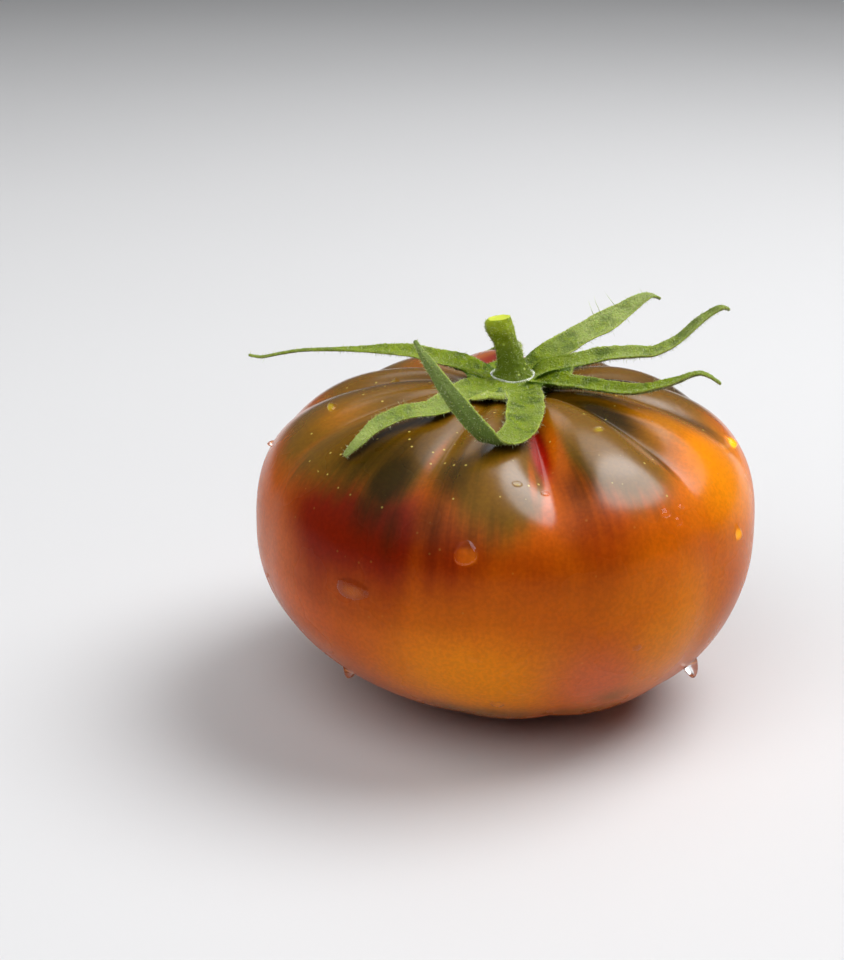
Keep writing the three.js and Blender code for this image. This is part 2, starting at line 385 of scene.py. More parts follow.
def rough_noise(tree, scale, detail=3.0, roughness=0.5, vector=None):
    """Noise in the object's own space, scale in waves per metre."""
    place = vector or add_node(tree, "TexCoord").outputs["Object"]
    made = add_node(tree, "TexNoise", {
        "Vector": place, "Scale": scale, "Detail": detail, "Roughness": roughness})
    return made.outputs["Fac"]


def new_material(name):
    """A material with its tree and its Principled shader."""
    material = bpy.data.materials.new(name)
    material.use_nodes = True
    tree = material.node_tree
    return material, tree, tree.nodes["Principled BSDF"]


def feed(tree, shader, **inputs):
    """Sets or links inputs of a shader; underscores stand for spaces."""
    for name, value in inputs.items():
        socket = shader.inputs[name.replace("_", " ")]
        if isinstance(value, bpy.types.NodeSocket):
            tree.links.new(value, socket)
        else:
            socket.default_value = value


def new_group(name, inputs, outputs):
    """An empty node group with number sockets, and its input and output nodes."""
    group = bpy.data.node_groups.new(name, "ShaderNodeTree")
    for socket, value in inputs.items():
        made = group.interface.new_socket(name=socket, in_out="INPUT", socket_type="NodeSocketFloat")
        made.default_value = value
    for socket in outputs:
        group.interface.new_socket(name=socket, in_out="OUTPUT", socket_type="NodeSocketFloat")
    return group, group.nodes.new("NodeGroupInput"), group.nodes.new("NodeGroupOutput")


def use_group(tree, group, **values):
    """The mask of a group placed in a material with its own values."""
    inputs = {name.replace("_", " "): value for name, value in values.items()}
    return add_node(tree, "Group", inputs, node_tree=group).outputs[0]


def make_streaks_group():
    """Streaks that run down from the stem like meridians, as a mask from 0 to 1."""
    inputs = {"Around": 20.0, "Down": 30.0, "Seed": 0.0}
    group, given, result = new_group("meridian_streaks", inputs, ["Mask"])
    place = add_node(group, "TexCoord").outputs["Object"]
    parts = add_node(group, "SeparateXYZ", {0: place})
    from_axis = compute(group, "ADD", parts.outputs[0], LEAN * MM)
    flat = add_node(group, "CombineXYZ", {0: from_axis, 1: parts.outputs[1]})
    level = add_node(group, "VectorMath", {0: flat.outputs[0]}, operation="NORMALIZE")
    wide = add_node(group, "VectorMath", {0: level.outputs[0], "Scale": given.outputs["Around"]},
                    operation="SCALE")
    height = times(group, parts.outputs[2], given.outputs["Down"])
    moved = compute(group, "ADD", height, given.outputs["Seed"])
    lift = add_node(group, "CombineXYZ", {2: moved})
    whole = add_node(group, "VectorMath", {0: wide.outputs[0], 1: lift.outputs[0]}, operation="ADD")
    mask = rough_noise(group, 1.0, detail=4.0, roughness=0.55, vector=whole.outputs[0])
    group.links.new(mask, result.inputs["Mask"])
    return group


def make_dots_group():
    """Small round dots scattered over a surface, as a mask from 0 to 1."""
    group, given, result = new_group("scattered_dots", {"Scale": 300.0, "Size": 0.2, "Share": 0.3}, ["Mask"])
    place = add_node(group, "TexCoord").outputs["Object"]
    cells = add_node(group, "TexVoronoi", {"Vector": place, "Scale": given.outputs["Scale"]})
    tone = add_node(group, "SeparateColor", {0: cells.outputs["Color"]})
    edge = times(group, given.outputs["Size"], 0.5)
    near = ramp(group, cells.outputs["Distance"], given.outputs["Size"], edge)
    chosen = compute(group, "LESS_THAN", tone.outputs[0], given.outputs["Share"])
    mask = times(group, near, chosen)
    group.links.new(mask, result.inputs["Mask"])
    return group


STREAKS = make_streaks_group()
DOTS = make_dots_group()


# Drops of water on the skin: azimuth, polar angle, half width, half length down the side, height, sag
DROPS = (
    (-98, 71.5, 2.0, 3.5, 1.9, 0.7),
    (-54.5, 26.5, 0.95, 0.95, 0.75, 0.1),
    (-87, 44.5, 0.85, 0.95, 0.65, 0.1),
    (-170.5, 36.5, 1.5, 1.2, 0.8, 0.1),
    (168, 20.5, 1.3, 1.0, 0.6, 0.1),
    (178, 66.5, 1.0, 1.1, 0.9, 0.2),
    (-4, 57, 1.3, 2.6, 1.1, 0.4),
    (-27.5, 81, 0.95, 2.3, 0.9, 0.4),
    (-29, 126, 1.7, 2.0, 1.7, 0.8),
    (-140, 125.5, 1.2, 1.3, 0.9, 0.4),
    (-159.5, 98, 0.4, 0.5, 0.3, 0.1),
    (-92.5, 122, 1.4, 0.8, 0.5, 0.2),
    (-123.5, 87.5, 3.4, 1.8, 0.55, 0.5),
    (-60, 101.5, 1.0, 0.9, 0.35, 0.1),
    (-79.5, 46, 0.8, 1.6, 0.35, 0.1),
    (-51, 63.5, 1.1, 1.7, 0.4, 0.1),
    (-48, 68, 0.9, 1.5, 0.35, 0.1),
    (-45.5, 63, 0.7, 1.2, 0.3, 0.1),
)

# The painted light under a drop: how far down it lies and its size, as shares of the drop's own
GLOW_DOWN = 0.4
GLOW_WIDTH = 0.95
GLOW_LENGTH = 0.75


# Fruit

# Where the green shoulder ends, as azimuth and polar angle, read round the fruit
SHOULDER_EDGE = (
    (-180, 54), (-165, 62), (-150, 64), (-140, 60), (-130, 57), (-120, 56), (-112, 48), (-105, 52),
    (-99, 63), (-90, 68), (-85, 66), (-81.5, 58), (-79, 38), (-75, 25), (-70, 42), (-65, 54), (-58, 60),
    (-52, 60), (-45, 54), (-38, 46), (-30, 38), (-22, 36), (-14, 44), (-8, 54), (0, 48), (12, 52),
    (30, 58), (50, 50), (70, 60), (90, 52), (110, 60), (130, 50), (150, 56), (165, 50), (180, 46),
)
SHOULDER_SOFTNESS = 22

# The skin is wet and glossier down to one polar angle, and again below another
WET_EDGE = 78
LOW_WET_EDGE = 84
WET_SOFTNESS = 24
LOW_WETNESS = 0.3

# The tan scar round the blossom end: the polar angle where it starts
SCAR_EDGE = 160
SCAR_SOFTNESS = 12

# Dry patches, and patches of colour of which some are painted shade, painted reflection and painted bounce
# light: azimuth, polar angle, half width, half height and strength
DRY_PATCHES = (
    (-29, 48, 12, 20, 0.9), (-69, 44, 4, 16, 0.7), (-132, 32, 24, 26, 0.85), (-8, 74, 14, 14, 0.6),
    (-45, 96, 26, 24, 0.9), (-90, 114, 18, 20, 0.7),
)
RIPE_PATCHES = (
    (-130, 70, 18, 21, 1.2), (-117, 70, 11, 21, 1.1), (-102, 74, 15, 16, 0.8), (-146, 74, 14, 16, 0.4),
    (-69, 68, 12, 22, 0.6), (-71, 44, 8, 20, 0.5), (-108, 60, 8, 16, 0.4), (-86, 76, 16, 14, 0.55),
    (20, 74, 18, 14, 0.6), (62, 66, 14, 12, 0.5), (112, 74, 20, 14, 0.7), (160, 70, 14, 12, 0.4),
)
# Dark green of the shoulder, with painted shade: shade in the furrows and shadows that the sepals cast on the
# skin
DARK_GREEN_AND_SHADE_PATCHES = (
    (-121, 49, 7, 15, 1.1), (-128, 42, 18, 22, 0.75), (-122, 60, 9, 15, 0.7), (-106, 60, 9, 18, 0.62),
    (-70, 46, 7, 20, 0.7), (-148, 40, 14, 20, 0.4), (-113, 100, 1.4, 24, 0.25), (-104, 44, 8, 18, 0.75),
    (-116, 66, 4, 16, 0.6), (-150, 56, 8, 16, 0.35), (-98, 66, 5, 14, 0.4), (-74, 66, 3, 16, 0.3),
    (-97, 32, 7, 8, 0.7), (-36, 20, 6, 14, 1.0), (-40, 42, 2.6, 13, 0.75), (-8, 44, 3.5, 16, 0.65),
    (-64, 48, 3, 14, 0.35), (-92, 62, 3, 14, 0.35), (-53, 62, 2, 10, 0.3), (176, 40, 9, 10, 0.4),
    (-160, 20, 9, 7, 0.35), (26, 40, 6, 14, 0.6), (50, 48, 5, 14, 0.7), (86, 42, 9, 14, 0.6),
    (108, 52, 5, 12, 0.7), (140, 46, 8, 14, 0.6),
)
RED_STRIPES = (
    (-78.4, 26, 4.4, 18, 1.0), (100, 14, 40, 6, 0.7), (20, 26, 3, 12, 0.4), (80, 28, 3, 14, 0.6),
    (140, 26, 3, 14, 0.4),
)
ORANGE_STRIPES = (
    (-73, 26, 3.6, 18, 0.95), (-113, 36, 1.9, 14, 0.55), (-82.6, 42, 1.5, 13, 0.75),
    (-76, 56, 4, 16, 0.35), (-112.5, 88, 1.2, 22, 0.25), (95, 22, 50, 12, 0.9), (-156, 52, 3, 16, 0.4),
    (20, 56, 3.5, 18, 0.6), (80, 56, 3.5, 18, 0.6), (168, 52, 3.5, 18, 0.5),
)
# Gold of the lobes up high; the patches low on the fruit are painted bounce light from the floor
GOLD_AND_BOUNCE_PATCHES = (
    (-20, 58, 20, 25, 1.1), (-24, 32, 14, 13, 0.9), (-70, 18, 6, 8, 0.5), (-48, 104, 16, 22, 0.8),
    (-98, 113, 25, 22, 0.9), (-60, 88, 20, 12, 0.35), (-162, 36, 10, 10, 0.45), (60, 88, 20, 20, 0.5),
    (150, 90, 25, 20, 0.4),
)
# Painted reflection of the pale floor: pinkish pale patches low on the skin
PAINTED_FLOOR_REFLECTION_PATCHES = (
    (-69, 114, 11, 16, 0.9), (-142, 98, 20, 18, 0.6), (-126, 106, 16, 16, 0.4), (100, 104, 30, 16, 0.4),
)
FOOT_TINGES = (
    (-100, 133, 26, 9, 0.8), (-62, 124, 7, 6, 0.6), (-70, 134, 30, 7, 0.6), (60, 136, 60, 9, 0.7),
    (150, 138, 50, 9, 0.7),
)


def patch_mask(azimuth, polar_degrees, patches):
    """The strongest of several soft oval patches at each point."""
    mask = np.zeros(np.broadcast(azimuth, polar_degrees).shape)
    for at_azimuth, at_polar, half_width, half_height, strength in patches:
        across = turn_between(azimuth, at_azimuth) / half_width
        down = (polar_degrees - at_polar) / half_height
        mask = np.maximum(mask, strength * np.exp(-(across ** 2 + down ** 2)))
    return mask


def painted_drop_light_patches():
    """Painted light: under each drop the skin is painted brighter, as if lit through the water, most in the
    drop's lower part.
    """
    patches = []
    for azimuth, polar, half_width, half_length, height, _ in DROPS:
        around = BELT_RADIUS * math.sin(math.radians(polar))
        patches.append((
            azimuth, polar + math.degrees(GLOW_DOWN * half_length / BELT_RADIUS),
            math.degrees(GLOW_WIDTH * half_width / around),
            math.degrees(GLOW_LENGTH * half_length / BELT_RADIUS),
            min(height, 1.0)))
    return patches


def make_fruit():
    """The skin as one fine closed mesh by the solid's own formula, with its zones of colour."""
    azimuth = np.linspace(-180, 180, SKIN_COLUMNS, endpoint=False)
    polar = np.linspace(0, 180, SKIN_RINGS + 2)[1:-1]
    azimuth_grid, polar_grid = np.meshgrid(azimuth, polar)
    near_pole = 0.05
    azimuths = np.concatenate([[0], azimuth_grid.ravel(), [0]])
    polars = np.concatenate([[near_pole], polar_grid.ravel(), [180 - near_pole]])
    points = skin_point(azimuths, polars)
    piece = new_piece("fruit_skin", points, loft_faces(len(polar), SKIN_COLUMNS))
    edge_azimuths, edge_polars = zip(*SHOULDER_EDGE)
    edge = np.interp(azimuths, edge_azimuths, edge_polars)
    mark(piece.data, "shoulder", 0.5 + (edge - polars) / SHOULDER_SOFTNESS)
    zones = {
        "ripe": RIPE_PATCHES, "dark": DARK_GREEN_AND_SHADE_PATCHES, "red_stripe": RED_STRIPES,
        "orange_stripe": ORANGE_STRIPES, "gold_and_bounce": GOLD_AND_BOUNCE_PATCHES, "floor_reflection": PAINTED_FLOOR_REFLECTION_PATCHES,
        "tinge": FOOT_TINGES, "painted_drop_light": painted_drop_light_patches(),
    }
    for name, patches in zones.items():
        mark(piece.data, name, patch_mask(azimuths, polars, patches))
    low_wet = np.clip((polars - LOW_WET_EDGE) / WET_SOFTNESS, 0, 1) * LOW_WETNESS
    wet = np.maximum(np.clip((WET_EDGE - polars) / WET_SOFTNESS, 0, 1), low_wet)
    mark(piece.data, "wet", wet * (1 - patch_mask(azimuths, polars, DRY_PATCHES)))
    mark(piece.data, "low", np.clip((polars - SCAR_EDGE) / SCAR_SOFTNESS, 0, 1))
    carry(piece, "skin", make_skin_material(), "fruit")
    return piece


ORANGE = (0.53, 0.100, 0.0006, 1)
RED_FLESH = (0.19, 0.0095, 0.0004, 1)
GOLD = (0.76, 0.220, 0.0006, 1)
PAINTED_FLOOR_REFLECTION = (0.56, 0.105, 0.022, 1)
OLIVE = (0.118, 0.066, 0.0013, 1)
BLACK_GREEN_AND_SHADE = (0.013, 0.008, 0.0005, 1)
FURROW_RED = (0.26, 0.005, 0.0003, 1)
FURROW_ORANGE = (0.48, 0.094, 0.0008, 1)
SPECK_YELLOW = (0.62, 0.48, 0.10, 1)
PAINTED_DROP_LIGHT = (1.9, 3.1, 1.3, 1)
SCAR_TAN = (0.25, 0.16, 0.07, 1)


def make_skin_material():
    """Waxy skin: orange flesh under an olive shoulder, with red patches, dark green patches with painted
    shade in the furrows and under the sepals, painted floor reflection and painted bounce light low down,
    painted light under the drops, streaks and specks.
    """
    material, tree, shader = new_material("tomato_skin")
    broad = use_group(tree, STREAKS, Around=7.0, Down=25.0, Seed=3.0)
    fine = use_group(tree, STREAKS, Around=26.0, Down=40.0, Seed=11.0)
    cloud = rough_noise(tree, 55.0, detail=3.0)
    grain = rough_noise(tree, 1500.0, detail=2.0)

    def ragged(name, wander, feather):
        spread = compute(tree, "MULTIPLY_ADD", broad, wander, -0.5 * wander)
        comb = compute(tree, "MULTIPLY_ADD", fine, feather, -0.5 * feather)
        return compute(tree, "ADD", stored(tree, name), compute(tree, "ADD", spread, comb))

    edge = ragged("shoulder", 0.65, 0.55)
    shoulder = ramp(tree, edge, 0.1, 0.95)
    ripe_wander = ragged("ripe", 0.2, 0.25)
    ripe_edge = compute(tree, "ADD", ripe_wander, compute(tree, "MULTIPLY_ADD", cloud, 0.3, -0.15))
    ripe = ramp(tree, ripe_edge, 0.0, 0.95)
    # Dark green with painted shade in the furrows and painted shadows under the sepals
    dark = ramp(tree, ragged("dark", 0.2, 0.5), 0.08, 0.95)
    red = ramp(tree, stored(tree, "red_stripe"), 0.2, 0.85)
    stripe = ramp(tree, ragged("orange_stripe", 0.1, 0.3), 0.15, 0.9)
    # Gold, and painted bounce light from the floor low on the fruit
    gold_and_bounce = ramp(tree, ragged("gold_and_bounce", 0.3, 0.2), 0.0, 1.0)
    # Painted reflection of the pale floor, pinkish, low on the skin
    floor_reflection = ramp(tree, ragged("floor_reflection", 0.3, 0.2), 0.0, 1.0)
    glow = ramp(tree, stored(tree, "painted_drop_light"), 0.25, 0.8)
    colour = blend(tree, ramp(tree, cloud, 0.35, 0.75, 0.0, 0.18), ORANGE, RED_FLESH)
    tinge = ramp(tree, ragged("tinge", 0.3, 0.3), 0.1, 1.0, 0.0, 0.75)
    shoulder_gold = times(tree, times(tree, gold_and_bounce, shoulder), 0.45)
    colour = lay(
        tree, colour, (gold_and_bounce, GOLD), (floor_reflection, PAINTED_FLOOR_REFLECTION), (ripe, RED_FLESH), (tinge, OLIVE),
        (times(tree, shoulder, 0.9), OLIVE), (shoulder_gold, GOLD), (times(tree, dark, 0.92), BLACK_GREEN_AND_SHADE),
        (times(tree, stripe, 0.85), FURROW_ORANGE), (red, FURROW_RED))
    mottle = ramp(tree, grain, 0.3, 0.7, 0.9, 1.08)
    colour = blend(tree, 1.0, colour, mottle, "MULTIPLY")
    specks = use_group(tree, DOTS, Scale=520.0, Size=0.14, Share=0.4)
    speck_mask = times(tree, specks, ramp(tree, edge, 0.2, 0.7, 0.1, 0.8))
    colour = blend(tree, speck_mask, colour, SPECK_YELLOW)
    # Painted light under the drops: the skin is brightened as if lit through the water
    colour = blend(tree, glow, colour, PAINTED_DROP_LIGHT, "MULTIPLY")
    scar = times(tree, stored(tree, "low"), ramp(tree, broad, 0.35, 0.6))
    colour = blend(tree, scar, colour, SCAR_TAN)
    bump = add_node(tree, "Bump", {"Strength": 0.05, "Distance": 0.0003, "Height": grain})
    feed(tree, shader, Base_Color=colour, Normal=bump.outputs[0], Subsurface_Weight=0.12,
         Subsurface_Radius=(1.0, 0.25, 0.08), Subsurface_Scale=0.003, IOR=1.45, Specular_IOR_Level=0.1,
         Roughness=ramp(tree, cloud, 0.3, 0.7, 0.22, 0.3),
         Coat_Weight=ramp(tree, stored(tree, "wet"), 0.0, 1.0),
         Coat_Roughness=0.22, Coat_IOR=1.7)
    return material


# Calyx

BLADE_MIDDLE = 0.6
BLADE_EDGE = 0.36
BLADE_STEPS = 96
BLADE_ACROSS = 14
NARROWEST_HALF = 0.2
EDGE_WAVE = 0.07
EDGE_CURL = 0.22

# The ribs of a sepal: height and half width of the middle one, height and closeness of the veins
RIB_HEIGHT = 0.16
RIB_HALF_WIDTH = 0.13
VEIN_HEIGHT = 0.05
VEIN_CLOSENESS = 11


def blade_grid(stations, seed):
    """Middle line, left and up directions and half widths of a sepal at even shares of its length."""
    share = np.linspace(0, 1, BLADE_STEPS)
    reach, height, azimuth, half_width, roll = spline(stations, share).T
    turn = np.radians(azimuth)
    middle = from_crown(reach, turn, height)
    along = unit(np.gradient(middle, axis=0))
    left = np.stack([-np.sin(turn), np.cos(turn), np.zeros_like(turn)], -1)
    left = unit(left - along * np.sum(left * along, 1, keepdims=True))
    tilt = np.radians(roll)[:, None]
    left = left * np.cos(tilt) + np.cross(along, left) * np.sin(tilt)
    up = np.cross(along, left)
    wave = 1 + EDGE_WAVE * ripple(middle, 0.35, seed)
    return share, middle, left, up, np.maximum(half_width, NARROWEST_HALF) * wave


def blade_points(name):
    """Upper and lower face points of a sepal, as steps by places across, and those places from -1 to 1."""
    seed = list(SEPALS).index(name)
    share, middle, left, up, half_width = blade_grid(SEPALS[name], seed)
    across = np.linspace(-1, 1, BLADE_ACROSS + 1)
    spread = across[None, :, None]
    half = half_width[:, None, None]
    channel = half * CHANNELS[name] * spread ** 2
    rib = RIB_HEIGHT * np.exp(-(spread / RIB_HALF_WIDTH) ** 2) * np.minimum(half / 1.5, 1)
    veins = VEIN_HEIGHT * np.cos(spread * VEIN_CLOSENESS) * np.minimum(half / 2, 1)
    thickness = BLADE_MIDDLE + (BLADE_EDGE - BLADE_MIDDLE) * np.abs(spread)
    base = middle[:, None] + left[:, None] * spread * half
    wander = EDGE_CURL * ripple(base, 0.3, seed + 40)[..., None]
    curl = wander * np.abs(spread) ** 2 * np.minimum(half / 1.2, 1)
    normal = up[:, None]
    upper = base + normal * (channel + curl + thickness / 2 - rib * 0.8 + veins)
    lower = base + normal * (channel + curl - thickness / 2 - rib)
    return share, across, upper, lower


def blade_mesh(name):
    """Points and faces of one closed sepal."""
    share, across, upper, lower = blade_points(name)
    rings = np.concatenate([upper, lower[:, ::-1]], axis=1)
    count = rings.shape[1]
    points = np.concatenate([[rings[0].mean(0)], rings.reshape(-1, 3), [rings[-1].mean(0)]])
    return points, loft_faces(len(rings), count)


def sepal_lines(reach):
    """Azimuths and heights of every sepal's two edges and middle line at one reach from the crown."""
    lines = []
    for name, stations in SEPALS.items():
        reaches, heights, azimuths, half_widths, rolls = np.array(stations)[:4].T
        height, azimuth, half_width, roll = (
            np.interp(reach, reaches, values) for values in (heights, azimuths, half_widths, rolls))
        spread = min(math.degrees(half_width / reach), WIDEST_SPREAD)
        tilt = half_width * math.sin(math.radians(roll))
        channel = half_width * CHANNELS[name]
        lines.append((azimuth - spread, height + channel - tilt))
        lines.append((azimuth, height))
        lines.append((azimuth + spread, height + channel + tilt))
    return np.array(lines).T


def web_height(reach, azimuth):
    """Height of the calyx between the sepals: straight across from edge to edge, with a slight sag."""
    heights = []
    for one_reach, one_azimuth in zip(reach, azimuth):
        line_azimuths, line_heights = sepal_lines(max(one_reach, ROOT_REACH))
        height = np.interp(one_azimuth, line_azimuths, line_heights, period=360)
        nearest = np.min(np.abs(turn_between(line_azimuths, one_azimuth)))
        sag = WEB_SAG * min(nearest / WIDEST_SPREAD, 1)
        outer = min(max((one_reach - ROOT_REACH) / 3, 0), 1)
        heights.append(DISC_TOP * (1 - outer) + (height - sag) * outer)
    return np.array(heights)


def disc_mesh():
    """The middle of the calyx with its webs: a thin saucer, thick and bedded in the skin under the stem."""
    turn = np.linspace(-180, 180, WEB_SIDES, endpoint=False)
    edge = np.interp(turn, *np.array(WEB_EDGE).T)

    def ring(share, drop):
        reach = edge * share
        height = web_height(reach, turn) - drop
        points = from_crown(reach, np.radians(turn), height)
        points[:, 2] += WEB_RIPPLE * ripple(points * (1, 1, 0), 0.55, 3)
        return points

    rings = [ring(share, 0) for share in np.linspace(0.06, 0.97, 22)]
    rings.append(ring(1.0, 0.3))
    rings.extend(ring(share, WEB_THICKNESS) for share in np.linspace(0.97, 0.7, 5))
    rings.append(ring(0.62, 2.6))
    rings.append(ring(0.3, BED_DEPTH))
    points = np.concatenate([[[*CROWN, DISC_TOP]], np.concatenate(rings), [[*CROWN, DISC_TOP - BED_DEPTH]]])
    return points, loft_faces(len(rings), WEB_SIDES)


CALYX_VOXEL = 0.17
CALYX_KEPT_SHARE = 0.7

# Where the pale edge and the painted light through the sepals start from the stem, and over what reach they
# come in
EDGE_START = 6
EDGE_FADE = 5
LIT_THROUGH_START = 8
LIT_THROUGH_FADE = 12


def make_calyx():
    """Disc and sepals fused into one smoothed skin, each point marked from the nearest blade point."""
    piece = join_meshes("calyx_star", [disc_mesh()] + [blade_mesh(name) for name in SEPALS])
    remesh = piece.modifiers.new("fuse", "REMESH")
    remesh.mode = "VOXEL"
    remesh.voxel_size = CALYX_VOXEL * MM
    smooth = piece.modifiers.new("soften", "SMOOTH")
    smooth.factor = 0.5
    smooth.iterations = 4
    thin = piece.modifiers.new("thin_out", "DECIMATE")
    thin.ratio = CALYX_KEPT_SHARE
    apply_modifiers(piece)
    piece.data.shade_smooth()
    tell_blade_places(piece.data)
    piece.data.materials.clear()
    carry(piece, "calyx", make_calyx_material(), "calyx")
    return piece


def apply_modifiers(piece):
    """The piece's modifiers become its mesh."""
    bpy.context.view_layer.update()
    graph = bpy.context.evaluated_depsgraph_get()
    mesh = bpy.data.meshes.new_from_object(piece.evaluated_get(graph))
    piece.modifiers.clear()
    old = piece.data
    piece.data = mesh
    bpy.data.meshes.remove(old)
    mesh.name = piece.name


def tell_blade_places(mesh):
    """Marks each vertex: how near a blade's edge and tip it is, its painted light shining through, and if it
    is on the upper face.
    """
    places = []
    for name in SEPALS:
        share, across, upper, lower = blade_points(name)
        share_grid = np.broadcast_to(share[:, None], upper.shape[:2])
        across_grid = np.broadcast_to(np.abs(across)[None, :], upper.shape[:2])
        for face, side in ((upper, 1.0), (lower, 0.0)):
            sides = np.full(upper.shape[:2], side)
            rows = np.stack([share_grid, across_grid, sides, np.full(upper.shape[:2], LIT_THROUGH_PALENESS[name])], -1)
            places.append(np.concatenate([face, rows], -1).reshape(-1, 7))
    places = np.concatenate(places)
    tree = kdtree.KDTree(len(places))
    for index, row in enumerate(places):
        tree.insert(row[:3], index)
    tree.balance()
    co = vertex_points(mesh)
    nearest = [tree.find(point)[1] for point in co]
    found = places[nearest]
    from_stem = np.hypot(co[:, 0] - CROWN[0], co[:, 1] - CROWN[1])
    mark(mesh, "tip", found[:, 3])
    mark(mesh, "edge", found[:, 4] * np.clip((from_stem - EDGE_START) / EDGE_FADE, 0, 1))
    mark(mesh, "upper", found[:, 5])
    mark(mesh, "lit_through", found[:, 6] * np.clip((from_stem - LIT_THROUGH_START) / LIT_THROUGH_FADE, 0, 1))


LEAF_GREEN = (0.205, 0.278, 0.006, 1)
LEAF_DEEP = (0.030, 0.068, 0.002, 1)
LEAF_UNDER_SHADE = (0.062, 0.118, 0.005, 1)
LEAF_LIT_THROUGH = (0.42, 0.50, 0.17, 1)
LEAF_PALE = (0.54, 0.64, 0.10, 1)
LEAF_TIP = (0.38, 0.46, 0.14, 1)


def make_calyx_material():
    """Hairy leaf: fresh green, paler along edges and specks, greyer to the tips, darker underneath as painted
    shade, and paler on some sepals as painted light shining through them.
    """
    material, tree, shader = new_material("calyx_leaf")
    cloud = rough_noise(tree, 600.0, detail=5.0, roughness=0.65)
    grain = rough_noise(tree, 2600.0, detail=3.0, roughness=0.6)
    upper = stored(tree, "upper")
    edge = ramp(tree, stored(tree, "edge"), 0.8, 1.0, 0.0, 0.55)
    tip = ramp(tree, stored(tree, "tip"), 0.45, 1.0, 0.0, 0.28)
    top = blend(tree, ramp(tree, cloud, 0.35, 0.7), LEAF_DEEP, LEAF_GREEN)
    patches = rough_noise(tree, 230.0, detail=3.0)
    top = blend(tree, ramp(tree, patches, 0.36, 0.58, 0.12, 0.7), top, LEAF_GREEN)
    # The underside is darker: painted shade
    colour = blend(tree, upper, LEAF_UNDER_SHADE, top)
    # Painted light: sepals paler where light shines through them
    lit_through = times(tree, stored(tree, "lit_through"), ramp(tree, patches, 0.3, 0.6, 0.3, 0.8))
    specks = use_group(tree, DOTS, Scale=1500.0, Size=0.28, Share=0.35)
    colour = lay(tree, colour, (tip, LEAF_TIP), (lit_through, LEAF_LIT_THROUGH), (edge, LEAF_PALE),
                 (times(tree, specks, 0.5), LEAF_PALE))
    height = compute(tree, "ADD", times(tree, cloud, 1.5), compute(tree, "ADD", grain, specks))
    bump = add_node(tree, "Bump", {"Strength": 0.95, "Distance": 0.0005, "Height": height})
    feed(tree, shader, Base_Color=colour, Normal=bump.outputs[0],
         Roughness=ramp(tree, cloud, 0.35, 0.65, 0.5, 0.24), Subsurface_Weight=0.2,
         Subsurface_Radius=(0.4, 1.0, 0.15), Subsurface_Scale=0.0008, IOR=1.4, Specular_IOR_Level=0.36)
    return material


# Stem

STEM_SIDES = 96
STEM_RINGS = 110

# The share of the stub's length from which its rings turn towards the cut, and where the lip swells
SLANT_START = 0.55
SLANT_SPAN = 0.45
LIP_PLACE = 0.95
LIP_SPREAD = 0.1

# The stub turns lighter from this height up, over this length
LIGHT_FROM = 57
LIGHT_OVER = 12


def make_stem():
    """The stub: a ribbed curved stalk from the disc up to its nearly level cut, whose rim stands proud."""
    share = np.linspace(0, 1, STEM_RINGS)
    x, y, z, radius = spline(STEM_LINE, share).T
    middle = np.stack([x, y, z], -1)
    turn = np.linspace(0, 2 * math.pi, STEM_SIDES, endpoint=False)
    rings = []
    for at, centre, size in zip(share, middle, radius):
        slant = max((at - SLANT_START) / SLANT_SPAN, 0.0)
        normal = Vector((0, 0, 1)).lerp(CUT_NORMAL, slant).normalized()
        right = Vector((0, 1, 0)).cross(normal).normalized()
        back = normal.cross(right)
        ribs = 1 + 0.025 * np.sin(turn * 5 + 1.2) + 0.012 * np.sin(turn * 13 + at * 3)
        lip = LIP_SWELL * math.exp(-((at - LIP_PLACE) / LIP_SPREAD) ** 2)
        ribs += lip * np.exp(-(np.cos(turn) + 1) ** 2 / 0.5)
        ring = centre + size * ribs[:, None] * (
            np.cos(turn)[:, None] * np.array(right) + np.sin(turn)[:, None] * np.array(back))
        ring += 0.05 * ripple(ring, 1.1, 7)[:, None] * (ring - centre)
        rings.append(ring)
    normal = np.array(CUT_NORMAL)
    for inner, dish in CUT_FACE:
        rim = middle[-1] + (rings[STEM_RINGS - 1] - middle[-1]) * inner
        rings.append(rim + normal * (dish + 0.04 * ripple(rim, 1.6, 12)[:, None]))
    points = np.concatenate([[middle[0]], np.concatenate(rings), [middle[-1] - 0.1 * normal]])
    piece = new_piece("stem_stub", points, [face[::-1] for face in loft_faces(len(rings), STEM_SIDES)])
    cut = np.zeros(len(points))
    cut[1 + (STEM_RINGS - 1) * STEM_SIDES:] = 1
    mark(piece.data, "cut", cut)
    mark(piece.data, "high", np.clip((points[:, 2] - LIGHT_FROM) / LIGHT_OVER, 0, 1))
    carry(piece, "stem", make_stem_material(), "stem")
    return piece


STEM_OLIVE = (0.095, 0.14, 0.003, 1)
STEM_LIGHT = (0.34, 0.42, 0.012, 1)
CUT_PALE = (0.52, 0.58, 0.05, 1)


